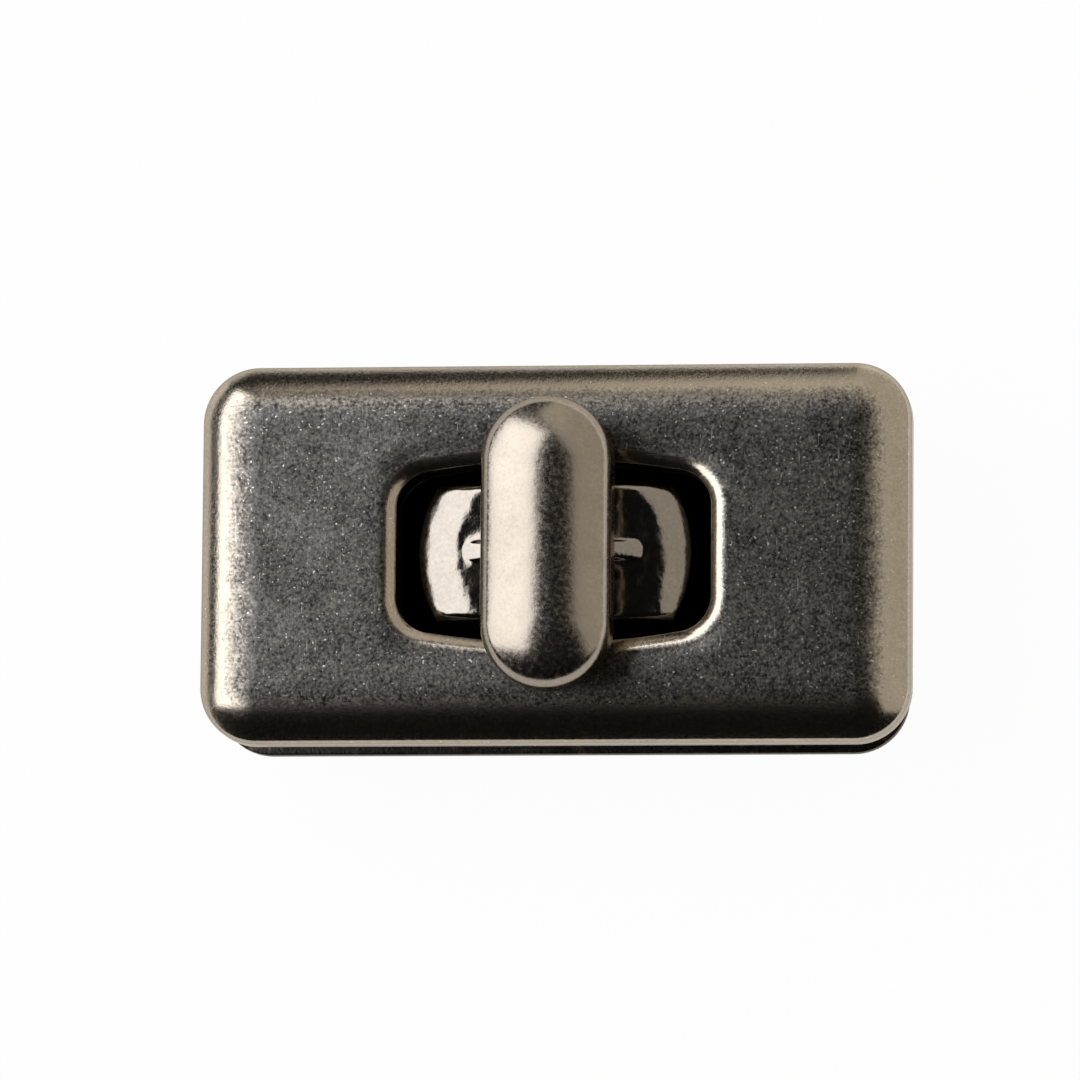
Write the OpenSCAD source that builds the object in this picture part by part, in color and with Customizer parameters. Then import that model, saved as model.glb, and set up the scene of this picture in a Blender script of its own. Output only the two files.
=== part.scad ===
// Rectangular twist lock for a bag: a framed flap half over a base half with a turning knob.
// Origin at the bottom centre, +Z out of the bag along the knob's axis, +X along the plate.

/* [Front plate] */
// Length of the front plate
plate_l = 35; // [32:0.5:50]
// Width of the front plate
plate_w = 18.7; // [17:0.1:30]
// Corner radius of the front plate, seen from above
plate_corner_r = 3.1; // [3:0.1:5]
// Height of the straight skirt under the rounded edge
skirt_h = 1.2; // [0.6:0.1:2]
// Width of the rounded edge, seen from above
edge_w = 3; // [2:0.1:3.1]
// Height of the rounded edge
edge_h = 1.4; // [1.1:0.1:2.2]
// Tight radius where the rounded edge runs into the skirt
edge_r = 0.5; // [0.3:0.1:1]
// Width of the solid rim around the hollow back
rim_w = 1.8; // [1.2:0.1:2.4]
// Metal over the hollow back
plate_roof = 1.1; // [0.8:0.1:1.4]

/* [Window] */
// Room between each end of the knob and the window when the knob passes through
window_end_clear = 0.6; // [0.4:0.1:1.5]
// Room between each side of the knob and the window when the knob passes through
window_side_clear = 1.3; // [1.1:0.1:2]
// Radius of the window's two bowed long sides
window_side_r = 38; // [30:1:80]
// Radius of the window's corners
window_corner_r = 1.8; // [0.8:0.1:2.2]
// Width of the window's flared top edge, seen from above
window_edge_w = 0.8; // [0.4:0.1:1.3]
// Depth of the window's flared top edge
window_edge_h = 0.4; // [0.2:0.05:0.6]
// Thickness of the collar that frames the window underneath
collar_t = 1; // [0.7:0.1:1.5]

/* [Flap fixing] */
// Thickness of the leather flap between the front plate and its back plate
flap_gap = 2.4; // [1:0.1:4]
// Thickness of the flap's back plate
back_t = 0.8; // [0.8:0.1:1.5]
// How far the back plate stays inside the front plate's outline at each end
back_inset_l = 0.35; // [0.1:0.05:1]
// How far the back plate stands out past the front plate at each side
back_lap_w = 0.1; // [0.05:0.05:0.5]
// How much wider the back plate's window is on each side
back_window_clear = 0.4; // [0.1:0.1:1]
// Diameter of the two tapped posts
post_d = 3.4; // [3:0.1:4.5]
// Diameter of the screws
screw_d = 2; // [1.8:0.1:2.4]
// Diameter of the countersunk screw heads
screw_head_d = 3.4; // [2.8:0.1:3.5]
// Length of a screw, head included
screw_l = 4.4; // [3:0.1:4.6]

/* [Knob] */
// Length of the knob's head
knob_l = 14.3; // [12:0.1:18]
// Width of the knob's head
knob_w = 6.4; // [5.4:0.1:8]
// Height of the dome on the knob's head
dome_h = 1.6; // [1.2:0.1:2.6]
// Tight radius at the foot of the dome
dome_r = 0.8; // [0.4:0.1:1.1]
// Height of the knob's straight side
knob_side_h = 1.8; // [0.8:0.1:2.4]
// Radius of the knob's lower edge
knob_under_r = 0.3; // [0.1:0.1:0.5]
// Gap between the front plate's face and the knob
knob_lift = 1.2; // [0.4:0.1:2]
// Diameter of the knob's neck
neck_d = 4.6; // [4.4:0.1:5.2]
// Diameter of the shaft where it turns in the boss
journal_d = 3.9; // [3.5:0.1:4.2]
// Width across the flats of the square shaft
shaft_sq = 3; // [2.8:0.1:3.4]
// Diameter of the shaft's riveted tail
tail_d = 2.6; // [2:0.1:2.7]

/* [Base] */
// Room between each round end of the boss and the window
boss_end_clear = 1; // [0.6:0.1:1.3]
// Room between each flat side of the boss and the window
boss_side_clear = 1.05; // [0.8:0.05:1.3]
// How far the boss stays below the front plate's face
boss_inset = 0.4; // [0.2:0.1:1]
// Width of the rounded edge at the boss's round ends, seen from above
boss_edge_w = 2; // [1.2:0.1:2.4]
// Height of the rounded edge at the boss's round ends
boss_edge_h = 1; // [0.7:0.1:1.2]
// Tight radius at the foot of the boss's rounded edge
boss_edge_r = 0.3; // [0.1:0.1:0.5]
// Radius of the edge along the boss's flat sides
boss_flat_r = 0.25; // [0.1:0.05:0.5]
// Wall between the spring chamber and the outside of the boss
boss_wall = 0.9; // [0.7:0.1:1.1]
// Metal over the spring chamber
boss_roof = 1.2; // [0.9:0.1:2]
// Reach of the two bearing ribs on the boss, from the knob's axis
rib_reach = 4.4; // [3.8:0.1:5]
// Width of a bearing rib
rib_w = 0.9; // [0.6:0.1:1.6]
// Height of a bearing rib beside the neck
rib_h = 0.65; // [0.3:0.05:0.75]
// How far the base's flange reaches past the window at each end
flange_lap_l = 4.75; // [4:0.25:7]
// How far the base's flange reaches past each end of the knob when it is locked
flange_lap_w = 0.35; // [0.1:0.05:2]
// Thickness of the base's flange
flange_t = 1.4; // [1.2:0.1:2.5]
// Corner radius of the base's flange
flange_r = 3; // [1:0.5:5]
// Radius of the flange's upper edge
flange_edge_r = 0.4; // [0.2:0.1:0.6]

/* [Detent springs] */
// Thickness of a spring leaf
spring_t = 0.3; // [0.2:0.05:0.4]
// Width of a spring leaf, along the shaft
spring_h = 3.6; // [2:0.1:4.4]

/* [Bag fixing] */
// Thickness of the bag panel between the base and its washer
bag_gap = 1.5; // [0.8:0.1:4]
// Thickness of the prong plate's sheet
sheet_t = 0.6; // [0.5:0.05:0.7]
// How far the prong plate reaches past the spring chamber
cover_lap = 1.6; // [1.2:0.1:2.2]
// Inner radius of the prongs' bends
bend_r = 0.3; // [0.2:0.05:0.4]
// Width of a prong
prong_w = 2; // [1.4:0.1:2.4]
// Distance between the two prongs at each end
prong_pitch = 4.6; // [3.6:0.1:5.2]
// Length of a prong's bent tab
tab_l = 2.6; // [1.8:0.1:4]
// Thickness of the bag washer
bag_washer_t = 0.8; // [0.5:0.1:1.2]
// Margin of the bag washer past the bent tabs
bag_washer_lap = 1.2; // [0.5:0.1:3]
// Diameter of the bag washer's middle hole
bag_hole_d = 7; // [6.4:0.1:8]
// Diameter of the retaining washer
retainer_d = 5.6; // [4.8:0.1:6]
// Thickness of the retaining washer
retainer_t = 0.5; // [0.3:0.1:0.7]
// Diameter of the rivet head on the shaft's tail
rivet_d = 3.6; // [3.2:0.1:4.4]
// Height of the rivet head on the shaft's tail
rivet_h = 0.5; // [0.3:0.1:0.6]

/* [Clearances] */
// Radial room of the turning shaft in its holes
run_clear = 0.05; // [0.02:0.01:0.1]
// End play of the knob between the boss and the retaining washer
end_play = 0.05; // [0.02:0.01:0.1]
// Room around pieces that are put together and stay
fit_clear = 0.03; // [0.02:0.01:0.1]
// Room around the prongs and the prong plate
sheet_clear = 0.15; // [0.1:0.05:0.3]

/* [Hidden] */
$fn = 96;

// Overlap that joins two shapes of one piece, and overrun of a cut
join = 0.2;
// Share of its depth by which the window's flare is cut past the plate's face
flare_over = 0.25;
// Steps round a corner and along half a bowed side of the window's opening
window_corner_steps = 10;
window_side_steps = 6;

// Colours
gunmetal = [0.24, 0.23, 0.22];
dark_nickel = [0.30, 0.29, 0.28];
black_plate = [0.13, 0.12, 0.11];
steel = [0.55, 0.55, 0.55];

// Heights, from the bent prong tabs up to the knob
z_bag_washer = sheet_t;
z_base = z_bag_washer + bag_washer_t + bag_gap;
z_cover = z_base + sheet_t;
z_flange = z_base + flange_t;
z_back = z_flange + back_t;
z_plate = z_back + flap_gap;
plate_h = skirt_h + edge_h;
z_face = z_plate + plate_h;
z_boss = z_face - boss_inset;
z_chamber = z_boss - boss_roof;
z_head = z_face + knob_lift;
z_retainer = z_base - end_play;
hollow_h = plate_h - plate_roof;

// Window and boss, which follow the knob that passes through
window_l = knob_l + 2 * window_end_clear;
window_w = knob_w + 2 * window_side_clear;
window_corner_y = barrel_corner_y(window_l, window_w, window_side_r, window_corner_r);
boss_d = window_l - 2 * boss_end_clear;
boss_w = window_w - 2 * boss_side_clear;

// Back plate and flange
back_l = plate_l - 2 * back_inset_l;
back_w = plate_w + 2 * back_lap_w;
flange_l = window_l + 2 * flange_lap_l;
flange_w = knob_l + 2 * flange_lap_w;

// Posts stand midway between the window's collar and the plate's rim
post_x = (window_l / 2 + collar_t + plate_l / 2 - rim_w) / 2;
screw_cone_h = (screw_head_d - screw_d) / 2;
slot_w = screw_d / 5;
slot_depth = screw_cone_h / 2;

// Spring chamber in the boss
chamber_w = boss_w - 2 * boss_wall;
chamber_l = 2 * sqrt(pow(boss_d / 2 - boss_wall, 2) - pow(chamber_w / 2, 2));
journal_bore_d = journal_d + 2 * run_clear;

// A spring leaf bears on the shaft at its middle and on the chamber's wall at its ends
leaf_half_l = chamber_l / 2 - sheet_clear;
leaf_mid = shaft_sq / 2 + fit_clear;
leaf_sag = chamber_w / 2 - fit_clear - leaf_mid - spring_t;
leaf_inner_r = (pow(leaf_half_l, 2) + pow(leaf_sag, 2)) / (2 * leaf_sag);
leaf_outer_r = leaf_inner_r + spring_t;

// Prong plate, its legs and their tabs
cover_l = chamber_l + 2 * cover_lap;
cover_w = chamber_w + 2 * cover_lap;
leg_x = cover_l / 2 + bend_r;
tab_x = leg_x + sheet_t + bend_r;
tab_end = tab_x + tab_l;
recess_l = 2 * (leg_x + sheet_t + sheet_clear);
recess_w = cover_w + 2 * sheet_clear;
bag_washer_l = 2 * (tab_end + bag_washer_lap);
bag_washer_w = recess_w + 2 * cover_lap + 2 * bag_washer_lap;

// Radius of an arch of width a and height b that runs into a tight radius r
function arch_r(a, b, r) = (pow(a - r, 2) + b * b - r * r) / (2 * (b - r));

// Centre height of a barrel outline's corners
function barrel_corner_y(l, w, side_r, corner_r) =
  w / 2 - side_r + sqrt(pow(side_r - corner_r, 2) - pow(l / 2 - corner_r, 2));

// Where a barrel outline's side meets its corner
function barrel_side_x(l, side_r, corner_r) = (l / 2 - corner_r) * side_r / (side_r - corner_r);

// Half of an arch: flat at the left, falling to a tight radius and a straight foot at the right
module half_arch(a, b, r) {
  top_r = arch_r(a, b, r);
  meet = (a - r) * top_r / (top_r - r);
  intersection() {
    translate([0, b - top_r]) circle(top_r);
    square([meet, b]);
  }
  intersection() {
    translate([a - r, 0]) circle(r);
    square([a, b]);
  }
}

// Section of the front plate's edge, from a corner's centre outwards
module pillow_section() {
  square([plate_corner_r, skirt_h]);
  translate([plate_corner_r - edge_w, skirt_h]) half_arch(edge_w, edge_h, edge_r);
  if (plate_corner_r > edge_w) square([plate_corner_r - edge_w, plate_h]);
}

// Section of a plain plate's edge, with a rounded upper corner
module round_section(corner_r, h, r) {
  square([corner_r, h - r]);
  square([corner_r - r, h]);
  translate([corner_r - r, h - r]) circle(r);
}

// A rectangular plate with round corners, whose edge has the child's section all round
module framed_plate(l, w, corner_r, h) {
  x = l / 2 - corner_r;
  y = w / 2 - corner_r;
  for (q = [0:3]) {
    side_x = (q == 0 || q == 3) ? x : -x;
    side_y = (q < 2) ? y : -y;
    translate([side_x, side_y, 0]) rotate([0, 0, 90 * q]) rotate_extrude(angle = 90) children();
  }
  for (turn = [0, 180]) rotate([0, 0, turn]) {
    translate([x, 0, 0]) rotate([90, 0, 0]) linear_extrude(2 * y, center = true) children();
    translate([0, y, 0]) rotate([90, 0, 90]) linear_extrude(2 * x, center = true) children();
  }
  translate([-x, -y, 0]) cube([2 * x, 2 * y, h]);
}

// Rectangle with round corners
module round_rect(l, w, corner_r) {
  square([l - 2 * corner_r, w], center = true);
  square([l, w - 2 * corner_r], center = true);
  for (x = [-1, 1], y = [-1, 1])
    translate([x * (l / 2 - corner_r), y * (w / 2 - corner_r)]) circle(corner_r);
}

// Barrel outline: straight ends, bowed sides and round corners
module barrel(l, w, side_r, corner_r) {
  corner_y = barrel_corner_y(l, w, side_r, corner_r);
  side_x = barrel_side_x(l, side_r, corner_r);
  intersection() {
    translate([0, w / 2 - side_r]) circle(side_r);
    translate([0, side_r - w / 2]) circle(side_r);
    square([2 * side_x, w], center = true);
  }
  square([l, 2 * corner_y], center = true);
  for (x = [-1, 1], y = [-1, 1])
    translate([x * (l / 2 - corner_r), y * corner_y]) circle(corner_r);
}

// The window's outline, grown by the same distance all round
module window_outline(grow) {
  barrel(window_l + 2 * grow, window_w + 2 * grow, window_side_r + grow, window_corner_r + grow);
}

// Points on an arc, from the one numbered first
function arc_points(centre, r, from, to, steps, first = 0) = [
  for (i = [first:steps])
    let (angle = from + (to - from) * i / steps) centre + r * [cos(angle), sin(angle)]
];

// The window's outline from the middle of its lower side round to the middle of its upper side
function window_half(grow) =
  let (
    corner = [window_l / 2 - window_corner_r, window_corner_y],
    bow = [0, window_w / 2 - window_side_r],
    meet = atan2(corner.y - bow.y, corner.x),
    quarter = concat(
      arc_points(corner, window_corner_r + grow, 0, meet, window_corner_steps),
      arc_points(bow, window_side_r + grow, meet, 90, window_side_steps, 1)
    ),
    last = len(quarter) - 1
  )
  concat(
    [for (i = [0:last]) [quarter[last - i].x, -quarter[last - i].y]],
    [for (i = [0:last - 1]) quarter[i]]
  );

// The window's whole outline at a height
function window_ring(grow, z) =
  let (half = window_half(grow))
  concat([for (p = half) [p.x, p.y, z]], [for (p = half) [-p.x, -p.y, z]]);

// The window's opening, straight and then flared, with the plate's face at z = 0
module window_opening() {
  foot = window_ring(0, -plate_h - join);
  flare = window_ring(0, -window_edge_h);
  mouth = window_ring((1 + flare_over) * window_edge_w, flare_over * window_edge_h);
  n = len(foot);
  polyhedron(
    points = concat(foot, flare, mouth),
    faces = concat(
      [[for (i = [0:n - 1]) i]],
      [for (row = [0, n], i = [0:n - 1]) let (j = (i + 1) % n) [row + i, row + n + i, row + n + j, row + j]],
      [[for (i = [n - 1:-1:0]) 2 * n + i]]
    )
  );
}

// Both sides of the plate, left and right
module both_ends() {
  for (turn = [0, 180]) rotate([0, 0, turn]) children();
}

module front_plate() color(gunmetal) translate([0, 0, z_plate]) difference() {
  union() {
    difference() {
      framed_plate(plate_l, plate_w, plate_corner_r, plate_h) pillow_section();
      translate([0, 0, -join]) linear_extrude(hollow_h + join)
        round_rect(plate_l - 2 * rim_w, plate_w - 2 * rim_w, plate_corner_r - rim_w);
    }
    linear_extrude(hollow_h + join) window_outline(collar_t);
    both_ends() translate([post_x, 0, -flap_gap]) cylinder(d = post_d, h = flap_gap + hollow_h + join);
  }
  translate([0, 0, plate_h]) window_opening();
  both_ends() translate([post_x, 0, -flap_gap - join])
    cylinder(d = screw_d + 2 * fit_clear, h = screw_l - back_t + 2 * join);
}

module flap_back_plate() color(black_plate) translate([0, 0, z_flange]) difference() {
  linear_extrude(back_t) round_rect(back_l, back_w, plate_corner_r - back_inset_l);
  translate([0, 0, -join]) linear_extrude(back_t + 2 * join) window_outline(back_window_clear);
  both_ends() translate([post_x, 0, 0]) {
    translate([0, 0, -join]) cylinder(d = screw_d + 2 * fit_clear, h = back_t + 2 * join);
    cylinder(d1 = screw_head_d + 2 * fit_clear, d2 = screw_d + 2 * fit_clear, h = screw_cone_h);
  }
}

// Countersunk screw, head down, with a cross recess
module flap_screw() color(steel) difference() {
  union() {
    cylinder(d1 = screw_head_d, d2 = screw_d, h = screw_cone_h);
    cylinder(d = screw_d, h = screw_l);
  }
  for (turn = [0, 90]) rotate([0, 0, turn])
    translate([-screw_d / 2, -slot_w / 2, -join]) cube([screw_d, slot_w, slot_depth + join]);
}

module flap_screw_left() translate([-post_x, 0, z_flange]) flap_screw();

module flap_screw_right() translate([post_x, 0, z_flange]) flap_screw();

// Section of the boss's round ends, from the knob's axis outwards
module boss_end_section(h) {
  flat_r = boss_d / 2 - boss_edge_w;
  square([flat_r, h]);
  square([boss_d / 2, h - boss_edge_h]);
  translate([flat_r, h - boss_edge_h]) half_arch(boss_edge_w, boss_edge_h, boss_edge_r);
}

// Boss with round ends and flat sides
module boss() translate([0, 0, z_flange - join]) intersection() {
  rotate_extrude() boss_end_section(z_boss - z_flange + join);
  rotate([90, 0, 90]) linear_extrude(boss_d + join, center = true) {
    round_section(boss_w / 2, z_boss - z_flange + join, boss_flat_r);
    mirror([1, 0]) round_section(boss_w / 2, z_boss - z_flange + join, boss_flat_r);
  }
}

// Rib that slopes down from the neck towards the boss's round end
module bearing_rib() {
  start = neck_d / 2 + sheet_clear;
  intersection() {
    translate([0, 0, z_boss]) rotate([90, 0, 0]) linear_extrude(rib_w, center = true)
      polygon([[start, -join], [start, rib_h], [rib_reach, join / 2], [rib_reach, -join]]);
    translate([0, 0, z_boss - join]) linear_extrude(rib_h + 2 * join) {
      square([2 * rib_reach - rib_w, rib_w], center = true);
      translate([rib_reach - rib_w / 2, 0]) circle(d = rib_w);
    }
  }
}

module lock_base() color(dark_nickel) difference() {
  union() {
    translate([0, 0, z_base]) framed_plate(flange_l, flange_w, flange_r, flange_t)
      round_section(flange_r, flange_t, flange_edge_r);
    boss();
    both_ends() bearing_rib();
  }
  translate([-recess_l / 2, -recess_w / 2, z_base - join]) cube([recess_l, recess_w, sheet_t + join]);
  translate([-chamber_l / 2, -chamber_w / 2, z_base]) cube([chamber_l, chamber_w, z_chamber - z_base]);
  translate([0, 0, z_chamber - join]) cylinder(d = journal_bore_d, h = boss_roof + rib_h + join);
}

// Half of the knob head's section, from its middle outwards
module knob_section() {
  half_w = knob_w / 2;
  translate([0, knob_side_h]) half_arch(half_w, dome_h, dome_r);
  translate([0, knob_under_r]) square([half_w, knob_side_h - knob_under_r]);
  square([half_w - knob_under_r, knob_side_h]);
  translate([half_w - knob_under_r, knob_under_r]) circle(knob_under_r);
}

// Domed bar with round ends, long side along Y
module knob_head() {
  straight = knob_l - knob_w;
  for (end = [-1, 1]) translate([0, end * straight / 2, 0])
    rotate([0, 0, end > 0 ? 0 : 180]) rotate_extrude(angle = 180) knob_section();
  rotate([90, 0, 0]) linear_extrude(straight, center = true) {
    knob_section();
    mirror([1, 0]) knob_section();
  }
}

module turn_knob() color(dark_nickel) {
  z_square = z_cover + end_play;
  z_rivet = z_retainer - retainer_t - rivet_h;
  translate([0, 0, z_head]) knob_head();
  translate([0, 0, z_boss + end_play]) cylinder(d = neck_d, h = z_head - z_boss - end_play + join);
  translate([0, 0, z_chamber - end_play]) cylinder(d = journal_d, h = boss_roof + 2 * end_play + join);
  intersection() {
    translate([-shaft_sq / 2, -shaft_sq / 2, z_square])
      cube([shaft_sq, shaft_sq, z_chamber - z_square]);
    translate([0, 0, z_square]) cylinder(d = journal_d, h = z_chamber - z_square);
  }
  translate([0, 0, z_rivet]) cylinder(d = tail_d, h = z_square - z_rivet + join);
  translate([0, 0, z_rivet]) cylinder(d = rivet_d, h = rivet_h);
}

// Spring leaf on the +Y side of the shaft, bowed towards it
module spring_leaf() color(steel) translate([0, leaf_mid + leaf_outer_r, z_cover])
  linear_extrude(spring_h) intersection() {
    difference() {
      circle(leaf_outer_r, $fn = 720);
      circle(leaf_inner_r, $fn = 720);
    }
    translate([-leaf_half_l, -leaf_outer_r]) square([2 * leaf_half_l, leaf_outer_r]);
  }

module detent_spring_upper() spring_leaf();

module detent_spring_lower() rotate([0, 0, 180]) spring_leaf();

// Quarter of a bend in sheet, from straight up to straight right of its centre
module bend_section() intersection() {
  difference() {
    circle(bend_r + sheet_t);
    circle(bend_r);
  }
  square(bend_r + sheet_t);
}

// Section of one prong: down from the prong plate's end, then out under the bag washer
module prong_section() {
  leg_top = z_base - bend_r;
  leg_bottom = z_bag_washer + bend_r;
  translate([cover_l / 2, leg_top]) bend_section();
  translate([leg_x, leg_bottom]) square([sheet_t, leg_top - leg_bottom]);
  translate([tab_x, leg_bottom]) rotate(180) bend_section();
  translate([tab_x, 0]) square([tab_l, sheet_t]);
}

// A prong along +X, its tab rounded at the tip
module prong() intersection() {
  rotate([90, 0, 0]) linear_extrude(prong_w, center = true) prong_section();
  translate([0, 0, -join]) linear_extrude(z_cover + 2 * join) {
    translate([0, -prong_w / 2]) square([tab_end - prong_w / 2, prong_w]);
    translate([tab_end - prong_w / 2, 0]) circle(d = prong_w);
  }
}

// Both prongs at both ends, as a pattern
module at_prongs() {
  both_ends() for (side = [-1, 1]) translate([0, side * prong_pitch / 2, 0]) children();
}

module prong_plate() color(steel) {
  translate([0, 0, z_base]) linear_extrude(sheet_t) difference() {
    square([cover_l, cover_w], center = true);
    circle(d = tail_d + 2 * run_clear);
  }
  at_prongs() prong();
}

module retaining_washer() color(steel) translate([0, 0, z_retainer - retainer_t])
  linear_extrude(retainer_t) difference() {
    circle(d = retainer_d);
    circle(d = tail_d + 2 * fit_clear);
  }

module bag_washer() color(steel) translate([0, 0, z_bag_washer]) linear_extrude(bag_washer_t)
  difference() {
    round_rect(bag_washer_l, bag_washer_w, flange_r);
    circle(d = bag_hole_d);
    at_prongs() translate([leg_x - sheet_clear, -prong_w / 2 - sheet_clear])
      square([tab_x - leg_x + 2 * sheet_clear, prong_w + 2 * sheet_clear]);
  }

front_plate();
flap_back_plate();
flap_screw_left();
flap_screw_right();
lock_base();
turn_knob();
detent_spring_upper();
detent_spring_lower();
prong_plate();
retaining_washer();
bag_washer();
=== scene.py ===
import math

import bmesh
import bpy
import numpy as np
from mathutils import Matrix, Vector


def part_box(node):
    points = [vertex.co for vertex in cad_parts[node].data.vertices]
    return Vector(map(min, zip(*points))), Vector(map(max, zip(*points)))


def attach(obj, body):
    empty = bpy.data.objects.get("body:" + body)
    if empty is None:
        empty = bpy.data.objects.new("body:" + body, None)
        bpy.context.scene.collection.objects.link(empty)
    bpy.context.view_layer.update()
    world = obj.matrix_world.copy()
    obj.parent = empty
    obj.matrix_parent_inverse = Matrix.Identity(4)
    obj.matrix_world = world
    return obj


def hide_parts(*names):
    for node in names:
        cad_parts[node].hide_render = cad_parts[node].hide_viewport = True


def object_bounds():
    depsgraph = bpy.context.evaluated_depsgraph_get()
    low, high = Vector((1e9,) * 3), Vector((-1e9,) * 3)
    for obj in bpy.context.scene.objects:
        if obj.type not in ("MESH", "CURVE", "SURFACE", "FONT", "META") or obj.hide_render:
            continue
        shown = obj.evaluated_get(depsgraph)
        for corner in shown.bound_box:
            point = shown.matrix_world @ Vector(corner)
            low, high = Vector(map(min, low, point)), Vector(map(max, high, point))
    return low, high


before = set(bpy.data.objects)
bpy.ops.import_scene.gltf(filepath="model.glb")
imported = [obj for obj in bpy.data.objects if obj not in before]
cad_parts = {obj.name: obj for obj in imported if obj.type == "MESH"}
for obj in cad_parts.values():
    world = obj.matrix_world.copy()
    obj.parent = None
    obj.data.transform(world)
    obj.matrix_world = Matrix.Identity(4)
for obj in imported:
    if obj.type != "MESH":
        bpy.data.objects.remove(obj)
cad_low, cad_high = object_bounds()

# Sizes are in millimetres, and meshes are written in metres
MM = 0.001


def box_mm(node):
    """Lowest and highest corner of a CAD node, in millimetres."""
    low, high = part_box(node)
    return np.array(low) / MM, np.array(high) / MM


# Boxes of the CAD nodes that the pieces below take their places from
plate_low, plate_high = box_mm("front_plate")
back_low, back_high = box_mm("flap_back_plate")
screw_low, screw_high = box_mm("flap_screw_right")
base_low, base_high = box_mm("lock_base")
knob_low, knob_high = box_mm("turn_knob")
spring_low, spring_high = box_mm("detent_spring_upper")
prong_low, prong_high = box_mm("prong_plate")
retainer_low, retainer_high = box_mm("retaining_washer")
washer_low, washer_high = box_mm("bag_washer")

# Front plate
PLATE_L, PLATE_W = (plate_high - plate_low)[:2]
PLATE_CORNER_R = 2.8
SKIRT_H = 1.2
EDGE_W = 3.0
EDGE_H = 1.4
EDGE_R = 0.5
RIM_W = 1.8
PLATE_ROOF = 1.1
Z_FACE = plate_high[2]
Z_PLATE = Z_FACE - EDGE_H - SKIRT_H
Z_HOLLOW = Z_FACE - PLATE_ROOF
POST_D = 3.4
POST_X = (screw_low[0] + screw_high[0]) / 2

# Window in the front plate, with its rolled lip and the shallow dish round it
WINDOW_L = 15.5
WINDOW_W = 9.0
WINDOW_SIDE_R = 38.0
WINDOW_CORNER_R = 1.8
LIP_R = 1.4
LIP_SLOPE = 37
LIP_BREAK = 0.06
DISH_W = 0.95
DISH_H = 0.08
# Where the dish begins, and over what length it deepens, in half widths of the window
DISH_START = 0.5
DISH_FADE = 0.4
# Wall round the window, under the face
COLLAR_T = 1.0

# Wear of the front plate's finish, from 0 on its face to 1 on its rounded edges
EDGE_WEAR_H = 0.504
LIP_WEAR_H = 0.06
BREAK_WEAR = 0.6
WALL_WEAR = 0.3

# Flap's back plate and its screws
BACK_L, BACK_W = (back_high - back_low)[:2]
BACK_CORNER_R = 2.75
BACK_WINDOW_GROW = 0.4
SCREW_D = 2.0
SCREW_HEAD_D = screw_high[0] - screw_low[0]
SCREW_ROOM = 0.03
RECESS_W = 0.4
RECESS_DEPTH = 0.35

# Base with its boss, ribs and flange
FLANGE_L, FLANGE_W = (base_high - base_low)[:2]
FLANGE_T = 1.4
FLANGE_R = 3.0
FLANGE_EDGE_R = 0.4
BOSS_D = 13.5
BOSS_W = 6.9
BOSS_EDGE_W = 2.2
BOSS_EDGE_H = 0.95
BOSS_EDGE_R = 0.3
BOSS_FLAT_R = 0.5
BOSS_ROOF = 1.2
BOSS_INSET = 0.4
RIB_START = 2.45
RIB_REACH = 4.4
RIB_W = 0.9
RIB_H = 0.65
RIB_TIP_H = 0.02
RIB_FOOT_W = 2.4
RIB_FOOT_H = 0.3
# Where a rib's side ends, and over what length it falls, in half widths of the rib
RIB_FADE_END = 1.25
RIB_FADE = 0.5
# Bore for the knob's shaft, and the chamber and recess below it
JOURNAL_BORE_D = 4.0
CHAMBER_L = 10.53
CHAMBER_W = 5.1
RECESS_L = 15.83
RECESS_PLATE_W = 8.6
Z_BASE = base_low[2]
Z_FLANGE = Z_BASE + FLANGE_T
Z_BOSS = Z_FACE - BOSS_INSET
Z_CHAMBER = Z_BOSS - BOSS_ROOF
Z_COVER = spring_low[2]

# Knob
KNOB_W, KNOB_L = (knob_high - knob_low)[:2]
DOME_H = 1.6
DOME_R = 1.0
KNOB_SIDE_H = 1.8
KNOB_UNDER_R = 0.3
NECK_D = 4.6
JOURNAL_D = 3.9
SHAFT_SQ = 3.0
TAIL_D = 2.6
RIVET_D = 3.6
RIVET_H = 0.5
RIVET_ROOM = 0.03
END_PLAY = 0.05
Z_HEAD = knob_high[2] - DOME_H - KNOB_SIDE_H

# Bag fixing
SHEET_T = 0.6
COVER_L = 13.73
BEND_R = 0.3
PRONG_W = 2.0
PRONG_PITCH = 4.6
LEG_X = COVER_L / 2 + BEND_R
TAB_X = LEG_X + SHEET_T + BEND_R
TAB_END = prong_high[0]
# Last angle of a prong's round tip, just short of a point
TIP_LAST_DEG = 88
SLOT_ROOM = 0.15
BAG_HOLE_D = 7.0

# Small breaks on edges that are sharp in the drawing
CAST_BREAK = 0.12
SHEET_BREAK = 0.08
SHEET_CORNER_R = 2 * SHEET_BREAK

# Fineness of the meshes
SIDE_STEPS = 24
CORNER_STEPS = 18
FILLET_STEPS = 6
ARCH_STEPS = 18
BOSS_STEPS = 72
TURN_STEPS = 128
# Power by which the boss's rings crowd outwards, and places of the face's rings
BOSS_CROWDING = 1.6
FACE_SHARES = (0.02, 0.25, 0.5, 0.75, 0.98)

# Tolerances of the meshes
STRAIGHT = 1e-9
MERGE_DIST = 1e-4
SLIVER = 1e-5
NEAR_ZERO = 1e-4
SHARP_ANGLE = math.radians(30)


# Outlines: a quarter from the +X axis to the +Y axis, mirrored to a whole loop


def line(start, end, steps):
    """Points from start to end."""
    return np.linspace(start, end, steps + 1)


def arc(centre, r, start_deg, end_deg, steps):
    """Points on a circle between two angles."""
    a = np.radians(np.linspace(start_deg, end_deg, steps + 1))
    return np.column_stack([centre[0] + r * np.cos(a), centre[1] + r * np.sin(a)])


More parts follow.
